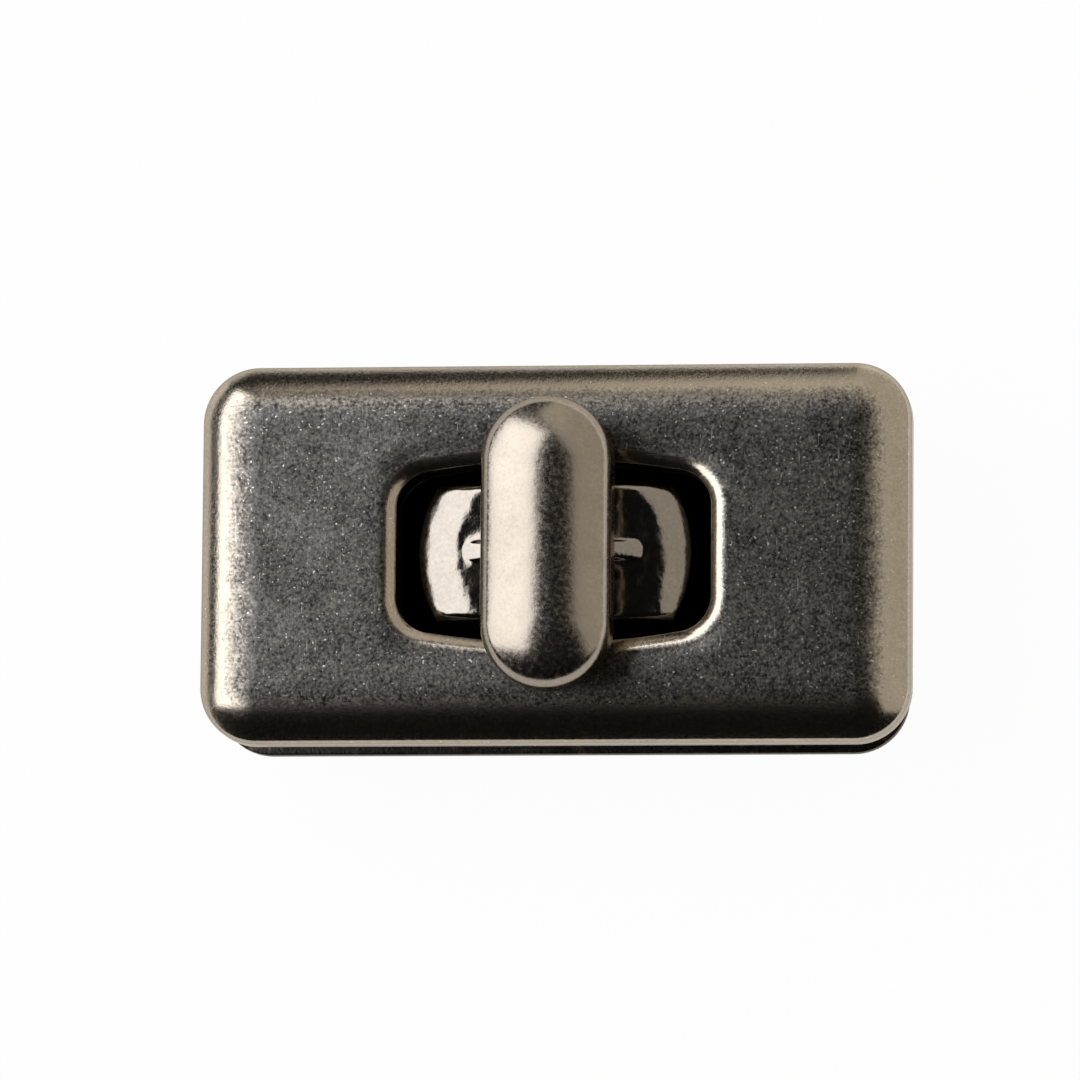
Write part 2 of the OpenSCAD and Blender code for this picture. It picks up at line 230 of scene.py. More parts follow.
def whole_loop(side, corner, end):
    """A closed outline from the three stretches of its first quarter."""
    quarter = np.vstack([side[:-1], corner[:-1], end])
    upper = np.vstack([quarter, quarter[::-1][1:] * (-1, 1)])
    return np.vstack([upper, upper[::-1][1:-1] * (1, -1)])


def round_rect_loop(length, width, r):
    """Rectangle with round corners."""
    half_l, half_w = length / 2, width / 2
    x, y = half_l - r, half_w - r
    return whole_loop(
        line((half_l, 0), (half_l, y), SIDE_STEPS),
        arc((x, y), r, 0, 90, CORNER_STEPS),
        line((x, half_w), (0, half_w), SIDE_STEPS),
    )


def circle_loop(d):
    """Circle, in the same three stretches as the other outlines."""
    return whole_loop(
        arc((0, 0), d / 2, 0, 30, SIDE_STEPS),
        arc((0, 0), d / 2, 30, 60, CORNER_STEPS),
        arc((0, 0), d / 2, 60, 90, SIDE_STEPS),
    )


def plate_loop(inset):
    """The front plate's outline, moved inwards."""
    corner_r = max(PLATE_CORNER_R - inset, SHEET_BREAK)
    return round_rect_loop(PLATE_L - 2 * inset, PLATE_W - 2 * inset, corner_r)


def flange_loop(inset):
    """The base flange's outline, moved inwards."""
    return round_rect_loop(FLANGE_L - 2 * inset, FLANGE_W - 2 * inset, FLANGE_R - inset)


def window_loop(grow):
    """The window's barrel outline, moved outwards."""
    half_l, half_w = WINDOW_L / 2 + grow, WINDOW_W / 2 + grow
    side_r, corner_r = WINDOW_SIDE_R + grow, WINDOW_CORNER_R + grow
    side_y = half_w - side_r
    x = half_l - corner_r
    y = side_y + math.sqrt((side_r - corner_r) ** 2 - x**2)
    meet = math.degrees(math.atan2(y - side_y, x))
    return whole_loop(
        line((half_l, 0), (half_l, y), SIDE_STEPS),
        arc((x, y), corner_r, 0, meet, CORNER_STEPS),
        arc((0, side_y), side_r, meet, 90, SIDE_STEPS),
    )


def boss_loop(grow):
    """The boss's outline: round ends cut by two flats, with a small break between them."""
    r, y = BOSS_D / 2 + grow, BOSS_W / 2 + grow
    meet = math.asin(y / r)
    corner = np.array([r * math.cos(meet), y])
    last = meet - CAST_BREAK / r
    start = np.array([r * math.cos(last), r * math.sin(last)])
    end = corner - (CAST_BREAK, 0)
    t = np.linspace(0, 1, CORNER_STEPS + 1)[:, None]
    break_curve = start * (1 - t) ** 2 + corner * 2 * t * (1 - t) + end * t**2
    return whole_loop(
        arc((0, 0), r, 0, math.degrees(last), SIDE_STEPS),
        break_curve,
        line(end, (0, y), SIDE_STEPS),
    )


# Rings and lofts


def ring(loop, z):
    """An outline at a height, which may vary along it."""
    return np.column_stack([loop, np.broadcast_to(z, len(loop))])


def fillet(start_deg, end_deg, centre, r, steps=FILLET_STEPS):
    """Points of a rounded edge in a section, as (distance, height) pairs."""
    return [tuple(p) for p in arc(centre, r, start_deg, end_deg, steps)]


def smooth_step(share):
    """A share held between 0 and 1, eased at both ends."""
    held = np.clip(share, 0, 1)
    return held**2 * (3 - 2 * held)


def arch_radius(width, height, r):
    """Wide radius of an arch that runs into a tight one."""
    return ((width - r) ** 2 + height**2 - r**2) / (2 * (height - r))


def arch_drop(distance, width, height, r):
    """How far an arch has fallen at distances from where its flat top ends."""
    wide_r = arch_radius(width, height, r)
    meet = (width - r) * wide_r / (wide_r - r)
    crown = wide_r - np.sqrt(wide_r**2 - np.minimum(distance, meet) ** 2)
    foot = height - np.sqrt(np.maximum(r**2 - (distance - (width - r)) ** 2, 0))
    return np.where(distance <= meet, crown, foot)


def arch(width, height, r):
    """Half of an arch: a tight radius at its foot, then a wide one up to the flat top.

    Gives (distance from the outside, height) pairs from its foot up.
    """
    wide_r = arch_radius(width, height, r)
    meet = math.degrees(math.atan2(wide_r - height, width - r))
    foot = arc((r, 0), r, 180, 180 - meet, ARCH_STEPS)
    crown = arc((width, height - wide_r), wide_r, 180 - meet, 90, ARCH_STEPS)
    return np.vstack([foot[:-1], crown])


def mesh_from(bm, name):
    """A plain mesh in metres from a bmesh in millimetres, closed and with faces outwards."""
    bmesh.ops.remove_doubles(bm, verts=bm.verts, dist=MERGE_DIST)
    bmesh.ops.dissolve_degenerate(bm, edges=bm.edges, dist=SLIVER)
    bmesh.ops.recalc_face_normals(bm, faces=bm.faces)
    bmesh.ops.scale(bm, vec=(MM, MM, MM), verts=bm.verts)
    mesh = bpy.data.meshes.new(name)
    bm.to_mesh(mesh)
    bm.free()
    mesh.shade_smooth()
    return mesh


def loft(bm, rings, closed=True, wear=None):
    """Joins rings of equal length with faces, round in a circle if closed, else capped."""
    layer = bm.verts.layers.float.get("polish") or bm.verts.layers.float.new("polish")
    rows = []
    for points, level in zip(rings, wear or [0] * len(rings)):
        row = [bm.verts.new(p) for p in points]
        for v in row:
            v[layer] = level
        rows.append(row)
    pairs = list(zip(rows, rows[1:]))
    if closed:
        pairs.append((rows[-1], rows[0]))
    else:
        bm.faces.new(rows[0][::-1])
        bm.faces.new(rows[-1])
    for low, high in pairs:
        for i in range(len(low)):
            j = (i + 1) % len(low)
            bm.faces.new((low[i], low[j], high[j], high[i]))


def new_piece(name, mesh, material):
    """An object at the origin with one material."""
    mesh.materials.clear()
    mesh.materials.append(material)
    piece = bpy.data.objects.new(name, mesh)
    bpy.context.scene.collection.objects.link(piece)
    return piece


def plain_copy(piece):
    """The mesh of a piece with its modifiers applied."""
    graph = bpy.context.evaluated_depsgraph_get()
    return bpy.data.meshes.new_from_object(piece.evaluated_get(graph))


def add_mesh(bm, mesh):
    """Adds a mesh in metres to a bmesh in millimetres."""
    mesh.transform(Matrix.Scale(1 / MM, 4))
    bm.from_mesh(mesh)
    bpy.data.meshes.remove(mesh)


def merged(mesh, name):
    """A mesh with its seams closed and its faces outwards."""
    bm = bmesh.new()
    add_mesh(bm, mesh)
    return mesh_from(bm, name)


# Node trees


def add_node(tree, kind, inputs=None, **settings):
    """A node with its settings made and its inputs set or linked."""
    made = tree.nodes.new(kind)
    for name, value in settings.items():
        setattr(made, name, value)
    for name, value in (inputs or {}).items():
        socket = made.inputs[name]
        if isinstance(value, bpy.types.NodeSocket):
            tree.links.new(value, socket)
        else:
            socket.default_value = value
    return made


def math_node(tree, operation, *values):
    """The result of a Math node."""
    return add_node(tree, "ShaderNodeMath", dict(enumerate(values)), operation=operation).outputs[0]


def vector(tree, **parts):
    """A vector from its X, Y and Z parts."""
    return add_node(tree, "ShaderNodeCombineXYZ", parts).outputs[0]


def new_tree(name, inputs, output):
    """A geometry tree with named inputs, and its input sockets by name."""
    tree = bpy.data.node_groups.new(name, "GeometryNodeTree")
    for socket_name, kind in inputs.items():
        tree.interface.new_socket(socket_name, in_out="INPUT", socket_type="NodeSocket" + kind)
    tree.interface.new_socket(output, in_out="OUTPUT", socket_type="NodeSocketGeometry")
    return tree, tree.nodes.new("NodeGroupInput").outputs


def end_tree(tree, geometry, finish):
    """Ends a tree in plain faces with their finish."""
    real = add_node(tree, "GeometryNodeRealizeInstances", {"Geometry": geometry})
    smooth = add_node(tree, "GeometryNodeSetShadeSmooth", {"Geometry": real.outputs[0]})
    last = add_node(
        tree, "GeometryNodeSetMaterial", {"Geometry": smooth.outputs[0], "Material": finish}
    )
    tree.links.new(last.outputs[0], tree.nodes.new("NodeGroupOutput").inputs[0])


def run_tree(tree, mesh, values):
    """The plain mesh that a tree makes from a mesh with these input values."""
    source = bpy.data.objects.new(tree.name, mesh)
    modifier = source.modifiers.new(tree.name, "NODES")
    modifier.node_group = tree
    for item in tree.interface.items_tree:
        if item.name in values:
            modifier[item.identifier] = values[item.name]
    bpy.context.scene.collection.objects.link(source)
    made = plain_copy(source)
    bpy.data.objects.remove(source)
    return made


def row_of(tree, instance, axis, count, spacing):
    """Instances in a row along an axis, with the row's middle at the origin."""
    start = math_node(tree, "MULTIPLY", spacing, -0.5)
    places = add_node(
        tree,
        "GeometryNodeMeshLine",
        {
            "Count": count,
            "Start Location": vector(tree, **{axis: start}),
            "Offset": vector(tree, **{axis: spacing}),
        },
    )
    row = add_node(
        tree,
        "GeometryNodeInstanceOnPoints",
        {"Points": places.outputs["Mesh"], "Instance": instance},
    )
    return row.outputs["Instances"]


def sample(tree, geometry, value, index, data_type):
    """A value of a geometry at one of its points."""
    made = add_node(
        tree,
        "GeometryNodeSampleIndex",
        {"Geometry": geometry, "Value": value, "Index": index},
        data_type=data_type,
    )
    return made.outputs["Value"]


def turned_piece_tree():
    """Turns a section round the Z axis, drawn out along Y where its stretch is 1."""
    tree, given = new_tree(
        "Turned piece",
        {
            "Section": "Geometry",
            "Around": "Int",
            "Straight": "Float",
            "Copies": "Int",
            "Spacing": "Float",
            "Finish": "Material",
        },
        "Piece",
    )
    section = given["Section"]
    size = add_node(tree, "GeometryNodeAttributeDomainSize", {"Geometry": section})
    rows = size.outputs["Point Count"]
    grid = add_node(
        tree,
        "GeometryNodeMeshGrid",
        {
            "Size X": 1.0,
            "Size Y": 1.0,
            "Vertices X": rows,
            "Vertices Y": math_node(tree, "ADD", given["Around"], 1),
        },
    )
    position = add_node(tree, "GeometryNodeInputPosition").outputs[0]
    place = add_node(tree, "ShaderNodeSeparateXYZ", {0: position}).outputs
    share = math_node(tree, "ADD", place["X"], 0.5)
    row = math_node(tree, "MULTIPLY", share, math_node(tree, "SUBTRACT", rows, 1))
    row = math_node(tree, "ROUND", row)
    angle = math_node(tree, "ADD", place["Y"], 0.5)
    angle = math_node(tree, "MULTIPLY", angle, 2 * math.pi)
    point = sample(tree, section, position, row, "FLOAT_VECTOR")
    point = add_node(tree, "ShaderNodeSeparateXYZ", {0: point}).outputs
    named = add_node(
        tree, "GeometryNodeInputNamedAttribute", {"Name": "stretch"}, data_type="FLOAT"
    )
    stretch = sample(tree, section, named.outputs["Attribute"], row, "FLOAT")
    sine = math_node(tree, "SINE", angle)
    side = math_node(tree, "GREATER_THAN", sine, -NEAR_ZERO)
    side = math_node(tree, "MULTIPLY_ADD", side, 2, -1)
    reach = math_node(tree, "MULTIPLY", stretch, given["Straight"])
    reach = math_node(tree, "MULTIPLY", reach, 0.5)
    reach = math_node(tree, "MULTIPLY", reach, side)
    x = math_node(tree, "MULTIPLY", point["X"], math_node(tree, "COSINE", angle))
    y = math_node(tree, "MULTIPLY_ADD", point["X"], sine, reach)
    turned = add_node(
        tree,
        "GeometryNodeSetPosition",
        {"Geometry": grid.outputs["Mesh"], "Position": vector(tree, X=x, Y=y, Z=point["Z"])},
    )
    closed = add_node(
        tree,
        "GeometryNodeMergeByDistance",
        {"Geometry": turned.outputs[0], "Distance": MERGE_DIST * MM},
    )
    copies = row_of(tree, closed.outputs["Geometry"], "X", given["Copies"], given["Spacing"])
    end_tree(tree, copies, given["Finish"])
    return tree


def prong_pattern_tree():
    """Sets a prong twice side by side and repeats the pair at the other end."""
    tree, given = new_tree(
        "Prong pattern", {"Prong": "Geometry", "Pitch": "Float", "Finish": "Material"}, "Prongs"
    )
    pair = row_of(tree, given["Prong"], "Y", 2, given["Pitch"])
    turned = add_node(
        tree, "GeometryNodeTransform", {"Geometry": pair, "Rotation": (0, 0, math.pi)}
    )
    both = tree.nodes.new("GeometryNodeJoinGeometry")
    tree.links.new(pair, both.inputs[0])
    tree.links.new(turned.outputs[0], both.inputs[0])
    end_tree(tree, both.outputs[0], given["Finish"])
    return tree


turned_piece = turned_piece_tree()
prong_pattern = prong_pattern_tree()


def turn(section, material, stretch=None, straight=0, copies=1, spacing=0):
    """The mesh of a turned piece from (radius, height) pairs, or of several side by side."""
    mesh = bpy.data.meshes.new("section")
    points = [(r * MM, 0, z * MM) for r, z in section]
    mesh.from_pydata(points, [(i, i + 1) for i in range(len(points) - 1)], [])
    layer = mesh.attributes.new("stretch", "FLOAT", "POINT")
    layer.data.foreach_set("value", stretch or [0] * len(points))
    values = {
        "Around": TURN_STEPS,
        "Straight": straight * MM,
        "Copies": copies,
        "Spacing": spacing * MM,
        "Finish": material,
    }
    return run_tree(turned_piece, mesh, values)


# Finishes

# Colours of the metals, and their tint where they are seen at a slant
EDGE_TINT = (0.62, 0.57, 0.50, 1)
GUNMETAL_DARK = (0.026, 0.025, 0.0235, 1)
GUNMETAL_LIGHT = (0.165, 0.155, 0.14, 1)
GUNMETAL_WORN_DARK = (0.335, 0.29, 0.232, 1)
GUNMETAL_WORN_LIGHT = (0.51, 0.445, 0.363, 1)
# Lighter colour of the gunmetal's scratches, and of its painted glints: specks of painted highlight
# in the base colour
GUNMETAL_SCRATCH_AND_PAINTED_GLINT = (0.60, 0.57, 0.52, 1)
BOSS_DARK = (0.25, 0.22, 0.188, 1)
BOSS_LIGHT = (0.33, 0.294, 0.253, 1)
KNOB_DARK = (0.257, 0.224, 0.184, 1)
KNOB_LIGHT = (0.39, 0.338, 0.281, 1)
BLACK_DARK = (0.022, 0.02, 0.0185, 1)
BLACK_LIGHT = (0.06, 0.055, 0.05, 1)
BLACK_WORN = (0.22, 0.16, 0.10, 1)
STEEL_DARK = (0.36, 0.35, 0.33, 1)
STEEL_LIGHT = (0.52, 0.51, 0.48, 1)

# Least and greatest roughness
GUNMETAL_ROUGH = (0.29, 0.41)
GUNMETAL_WORN_ROUGH = (0.14, 0.22)
BOSS_ROUGH = (0.075, 0.15)
KNOB_ROUGH = (0.15, 0.30)
BLACK_ROUGH = (0.25, 0.37)
STEEL_ROUGH = (0.22, 0.37)

# Depth of the relief in millimetres, and the share of it that wear leaves on gunmetal
GUNMETAL_RELIEF = 0.004
WORN_RELIEF = 0.5
NICKEL_RELIEF = 0.01
BLACK_RELIEF = 0.006
STEEL_RELIEF = 0.004

# Sockets of a Mix node that mixes colours
MIX_SHARE, MIX_FIRST, MIX_SECOND, MIX_RESULT = 0, 6, 7, 2


def spread(tree, value, low, high, to_low=0, to_high=1):
    """A value taken from one range to another, and held inside it."""
    made = add_node(
        tree,
        "ShaderNodeMapRange",
        {"Value": value, "From Min": low, "From Max": high, "To Min": to_low, "To Max": to_high},
    )
    return made.outputs["Result"]


def noise(tree, coords, size, detail=2.0, roughness=0.5, low=0.3, high=0.7):
    """Noise with features of a size in millimetres, spread from 0 to 1."""
    made = add_node(
        tree,
        "ShaderNodeTexNoise",
        {"Vector": coords, "Scale": 1 / (size * MM), "Detail": detail, "Roughness": roughness},
    )
    return spread(tree, made.outputs["Fac"], low, high)


def scratches(tree, coords, turn_deg, size, length):
    """Thin short scratches along one direction, mostly 0."""
    turned = add_node(
        tree,
        "ShaderNodeMapping",
        {
            "Vector": coords,
            "Rotation": (0, 0, math.radians(turn_deg)),
            "Scale": (1, size / length, 1),
        },
    )
    return noise(tree, turned.outputs[0], size, detail=1.0, low=0.74, high=0.80)


def weighted(tree, *parts):
    """The sum of values, each times its weight."""
    value, weight = parts[0]
    total = math_node(tree, "MULTIPLY", value, weight)
    for value, weight in parts[1:]:
        total = math_node(tree, "MULTIPLY_ADD", value, weight, total)
    return total


def mix_colour(tree, share, first, second):
    """Two colours mixed by a share."""
    inputs = {MIX_SHARE: share, MIX_FIRST: first, MIX_SECOND: second}
    return add_node(tree, "ShaderNodeMix", inputs, data_type="RGBA").outputs[MIX_RESULT]


def metal(name):
    """A metal material, with its tree, shader and object coordinates."""
    material = bpy.data.materials.new(name)
    material.use_nodes = True
    tree = material.node_tree
    shader = tree.nodes["Principled BSDF"]
    shader.inputs["Metallic"].default_value = 1.0
    shader.inputs["Specular Tint"].default_value = EDGE_TINT
    coords = add_node(tree, "ShaderNodeTexCoord").outputs["Object"]
    return material, tree, shader, coords


def dress(tree, shader, colour, roughness, height, depth):
    """Links a colour, a roughness and a relief of some depth in millimetres to a shader."""
    bump = add_node(
        tree, "ShaderNodeBump", {"Height": height, "Strength": 1.0, "Distance": depth * MM}
    )
    tree.links.new(colour, shader.inputs["Base Color"])
    tree.links.new(roughness, shader.inputs["Roughness"])
    tree.links.new(bump.outputs[0], shader.inputs["Normal"])


def antique_gunmetal():
    """Tumbled gunmetal plating: dark speckled flats with light scratches and painted glints,
    lighter and smoother rounded edges.
    """
    material, tree, shader, coords = metal("antique_gunmetal")
    rounding = add_node(tree, "ShaderNodeAttribute", attribute_name="polish").outputs["Fac"]
    cloud = noise(tree, coords, 3.2, detail=4.0, roughness=0.6, low=0.32, high=0.68)
    mottle = noise(tree, coords, 0.55, detail=3.0, roughness=0.6)
    grain = noise(tree, coords, 0.15, roughness=0.6, low=0.28, high=0.72)
    # Specks that are a small relief, and that are also painted into the colour below as bright
    # glints
    glints = noise(tree, coords, 0.13, detail=0.0, low=0.75, high=0.86)
    marks = math_node(
        tree,
        "MAXIMUM",
        scratches(tree, coords, 8, 0.09, 1.6),
        scratches(tree, coords, -35, 0.08, 1.1),
    )
    tone = weighted(tree, (grain, 0.6), (cloud, 0.18), (mottle, 0.22))
    polish = spread(tree, weighted(tree, (rounding, 1.3), (tone, 0.7)), 0.5, 1.25)
    flat = mix_colour(tree, spread(tree, tone, 0.2, 0.8), GUNMETAL_DARK, GUNMETAL_LIGHT)
    worn = mix_colour(tree, tone, GUNMETAL_WORN_DARK, GUNMETAL_WORN_LIGHT)
    # Light scratches, plus painted highlight on the glint specks, lighten the colour towards the
    # glint colour
    scratches_and_painted_glints = math_node(tree, "MAXIMUM", math_node(tree, "MULTIPLY", marks, 0.35), glints)
    colour = mix_colour(tree, scratches_and_painted_glints, mix_colour(tree, polish, flat, worn), GUNMETAL_SCRATCH_AND_PAINTED_GLINT)
    rough_flat = spread(tree, grain, 0, 1, *GUNMETAL_ROUGH)
    rough_worn = spread(tree, grain, 0, 1, *GUNMETAL_WORN_ROUGH)
    rough_drop = math_node(tree, "SUBTRACT", rough_worn, rough_flat)
    roughness = math_node(tree, "MULTIPLY_ADD", polish, rough_drop, rough_flat)
    relief = weighted(tree, (grain, 1.0), (glints, 0.5), (mottle, 0.8), (marks, -0.4))
    relief = math_node(tree, "MULTIPLY", relief, spread(tree, polish, 0, 1, 1, WORN_RELIEF))
    dress(tree, shader, colour, roughness, relief, GUNMETAL_RELIEF)
    return material


def dark_nickel(name, dark, light, rough, speckle, waves):
    """Polished dark nickel plating on a casting, a little uneven and speckled."""
    material, tree, shader, coords = metal(name)
    cloud = noise(tree, coords, 1.7, detail=4.0, roughness=0.6)
    grain = noise(tree, coords, 0.2, detail=3.0, roughness=0.6)
    swell = noise(tree, coords, 1.1, detail=1.0)
    colour = mix_colour(tree, weighted(tree, (grain, 0.6), (cloud, 0.4)), dark, light)
    roughness = spread(tree, grain, 0, 1, *rough)
    relief = weighted(tree, (grain, speckle), (swell, waves))
    dress(tree, shader, colour, roughness, relief, NICKEL_RELIEF)
    return material


def black_nickel():
    """Black nickel plating on stamped sheet, brown where it has worn."""
    material, tree, shader, coords = metal("black_nickel")
    cloud = noise(tree, coords, 1.5, detail=5.0, roughness=0.7)
    grain = noise(tree, coords, 0.15)
    worn = noise(tree, coords, 0.6, detail=3.0, low=0.58, high=0.72)
    plated = mix_colour(tree, cloud, BLACK_DARK, BLACK_LIGHT)
    colour = mix_colour(tree, math_node(tree, "MULTIPLY", worn, 0.4), plated, BLACK_WORN)
    roughness = spread(tree, grain, 0, 1, *BLACK_ROUGH)
    dress(tree, shader, colour, roughness, grain, BLACK_RELIEF)
    return material


def nickel_steel():
    """Thin nickel plating on steel sheet, with the rolling lines showing through."""
    material, tree, shader, coords = metal("nickel_steel")
    cloud = noise(tree, coords, 2.5, detail=4.0, roughness=0.6)
    grain = noise(tree, coords, 0.12)
    lines = scratches(tree, coords, 90, 0.08, 6.0)
    colour = mix_colour(tree, cloud, STEEL_DARK, STEEL_LIGHT)
    roughness = spread(tree, grain, 0, 1, *STEEL_ROUGH)
    relief = weighted(tree, (grain, 1.0), (lines, -0.6))
    dress(tree, shader, colour, roughness, relief, STEEL_RELIEF)
    return material


gunmetal = antique_gunmetal()
boss_nickel = dark_nickel("boss_nickel", BOSS_DARK, BOSS_LIGHT, BOSS_ROUGH, speckle=0.3, waves=2.2)
knob_nickel = dark_nickel("knob_nickel", KNOB_DARK, KNOB_LIGHT, KNOB_ROUGH, speckle=0.25, waves=0.2)
black_sheet = black_nickel()
steel = nickel_steel()


# Front plate: a closed loft through its section, from the skirt's foot up, in and round


def dish_sag(loop):
    """How far the plate has sunk at the window's lip: most along the bowed sides."""
    y = np.abs(loop[:, 1])
    return DISH_H * smooth_step((y / y.max() - DISH_START) / DISH_FADE)


def wear_below(height):
    """Wear that comes up over a height below the plate's face, as a function of z."""
    return lambda z: float(np.clip((Z_FACE - z) / height, 0, 1))


def band(loop_at, points, wear, sag=0):
    """Rings of an outline at (distance, height) points, each with its wear."""
    levels = [wear(z) if callable(wear) else wear for _, z in points]
    return [(ring(loop_at(d), z - sag), level) for (d, z), level in zip(points, levels)]


def plate_face(lip_w, sag):
    """Unworn rings of the face, from the pillow edge in to the window's dished lip."""
    outer = ring(plate_loop(EDGE_W), Z_FACE)
    inner = ring(window_loop(lip_w + DISH_W), Z_FACE)
    rings = [outer * (1 - share) + inner * share for share in FACE_SHARES]
    for share in np.linspace(0, 1, FILLET_STEPS + 1):
        loop = window_loop(lip_w + DISH_W * (1 - share))
        rings.append(ring(loop, Z_FACE - sag * share**2))
    return [(points, 0) for points in rings]


def plate_posts():
    """The mesh of the two tapped posts."""
    b = CAST_BREAK
    foot, top = plate_low[2], Z_HOLLOW + b
    post_r, bore_r = POST_D / 2, SCREW_D / 2 + SCREW_ROOM
    post = [
        (bore_r, top - 2 * b),
        (bore_r, foot + b),
        (bore_r + b, foot),
        (post_r - b, foot),
        (post_r, foot + b),
        (post_r, top),
        (0, top),
        (0, top - 2 * b),
        (bore_r, top - 2 * b),
    ]
    return turn(post, gunmetal, copies=2, spacing=2 * POST_X)


def front_plate():
    """The cast front plate with its pillow edge, window, hollow back and tapped posts."""
    b = CAST_BREAK
    foot = Z_PLATE + b
    slope = math.radians(LIP_SLOPE)
    lip_w = LIP_R * math.sin(slope) + LIP_BREAK * (1 - math.sin(slope))
    lip_foot = Z_FACE - LIP_R * (1 - math.cos(slope)) - LIP_BREAK * math.cos(slope)
    sag = dish_sag(window_loop(lip_w))
    edge = arch(EDGE_W, EDGE_H, EDGE_R) + (0, Z_PLATE + SKIRT_H)
    lip = fillet(90, 90 + LIP_SLOPE, (lip_w, Z_FACE - LIP_R), LIP_R, ARCH_STEPS)[1:]
    lip += fillet(90 + LIP_SLOPE, 180, (LIP_BREAK, lip_foot), LIP_BREAK)[1:]

    section = band(plate_loop, fillet(270, 180, (b, foot), b), BREAK_WEAR)
    section += band(plate_loop, edge, wear_below(EDGE_WEAR_H))
    section += plate_face(lip_w, sag)
    section += band(window_loop, lip, wear_below(LIP_WEAR_H), sag)
    section += band(window_loop, [(0, lip_foot - 2 * b), (0, foot + b)], WALL_WEAR)
    section += band(window_loop, fillet(180, 270, (b, foot), b), BREAK_WEAR)
    section += band(window_loop, fillet(270, 360, (COLLAR_T - b, foot), b), WALL_WEAR)
    section += band(window_loop, [(COLLAR_T, Z_HOLLOW - b), (COLLAR_T, Z_HOLLOW)], 0)
    section += band(plate_loop, [(RIM_W, Z_HOLLOW), (RIM_W, Z_HOLLOW - b)], 0)
    section += band(plate_loop, fillet(0, -90, (RIM_W - b, foot), b), WALL_WEAR)

    bm = bmesh.new()
    rings, wear = zip(*section)
    loft(bm, rings, wear=wear)
    add_mesh(bm, plate_posts())
    return new_piece("front_plate_casting", mesh_from(bm, "front_plate_casting"), gunmetal)


# Base: a closed loft from the flange's foot up over the boss and down the bore and chamber


def rib_height(x, y):
    """Height of the two ribs at points: they slope down from the neck, over soft feet."""
    along = np.clip((np.abs(x) - RIB_START) / (RIB_REACH - RIB_START), 0, 1)
    crest = RIB_H + (RIB_TIP_H - RIB_H) * along
    foot = RIB_FOOT_H * (1 - along)
    past = np.maximum(np.abs(x) - (RIB_REACH - RIB_W / 2), 0)
    across = np.hypot(past, y) / (RIB_W / 2)
    upper = (crest - foot) * smooth_step((RIB_FADE_END - across) / RIB_FADE)
    lower = foot * smooth_step(1 - across * RIB_W / RIB_FOOT_W)
    under_neck = np.hypot(x, y) < RIB_START - CAST_BREAK
    return np.where(under_neck, 0, np.maximum(upper, 0) + lower)


def boss_height(x, y):
    """Height of the boss's top at points: rounded ends, rounded flats and two sloping ribs."""
    end = np.clip(np.hypot(x, y) - (BOSS_D / 2 - BOSS_EDGE_W), 0, BOSS_EDGE_W)
    side = np.clip(np.abs(y) - (BOSS_W / 2 - BOSS_FLAT_R), 0, BOSS_FLAT_R)
    end_drop = arch_drop(end, BOSS_EDGE_W, BOSS_EDGE_H, BOSS_EDGE_R)
    side_drop = BOSS_FLAT_R - np.sqrt(BOSS_FLAT_R**2 - side**2)
    return Z_BOSS - end_drop - side_drop + rib_height(x, y)


def lock_base():
    """The polished base casting."""
    b, e = CAST_BREAK, FLANGE_EDGE_R
    flange = fillet(270, 180, (b, Z_BASE + b), b) + fillet(180, 90, (e, Z_FLANGE - e), e)
    rings = [ring(flange_loop(d), z) for d, z in flange]
    for d, z in fillet(270, 180, (b, Z_FLANGE + b), b):
        rings.append(ring(boss_loop(b - d), z))
    outline, bore = boss_loop(0), circle_loop(JOURNAL_BORE_D)
    for share in np.linspace(0, 1, BOSS_STEPS + 1) ** BOSS_CROWDING:
        loop = outline * (1 - share) + bore * share
        rings.append(ring(loop, boss_height(loop[:, 0], loop[:, 1])))
    rings.append(ring(bore, Z_CHAMBER))
    chamber = round_rect_loop(CHAMBER_L, CHAMBER_W, b)
    recess = round_rect_loop(RECESS_L, RECESS_PLATE_W, b)
    rings += [ring(chamber, Z_CHAMBER), ring(chamber, Z_COVER)]
    rings += [ring(recess, Z_COVER), ring(recess, Z_BASE)]
    bm = bmesh.new()
    loft(bm, rings)
    return new_piece("lock_base_casting", mesh_from(bm, "lock_base_casting"), boss_nickel)


# Knob: one turned section, drawn out to a bar at its head, with a square shaft


def knob_section():
    """The knob's section from the dome's top down to the journal, and where it is drawn out."""
    half_w = KNOB_W / 2
    dome = arch(half_w, DOME_H, DOME_R)[::-1]
    head = [(half_w - d, Z_HEAD + KNOB_SIDE_H + z) for d, z in dome]
    u = KNOB_UNDER_R
    head += fillet(0, -90, (half_w - u, Z_HEAD + u), u)
    neck_r, journal_r = NECK_D / 2, JOURNAL_D / 2
    foot = Z_BOSS + END_PLAY
    neck = fillet(90, 180, (neck_r + u, Z_HEAD - u), u)
    neck += fillet(0, -90, (neck_r - CAST_BREAK, foot + CAST_BREAK), CAST_BREAK)
    journal_foot = Z_CHAMBER - END_PLAY
    neck += [(journal_r, foot), (journal_r, journal_foot), (0, journal_foot)]
    return head + neck, [1] * len(head) + [0] * len(neck)


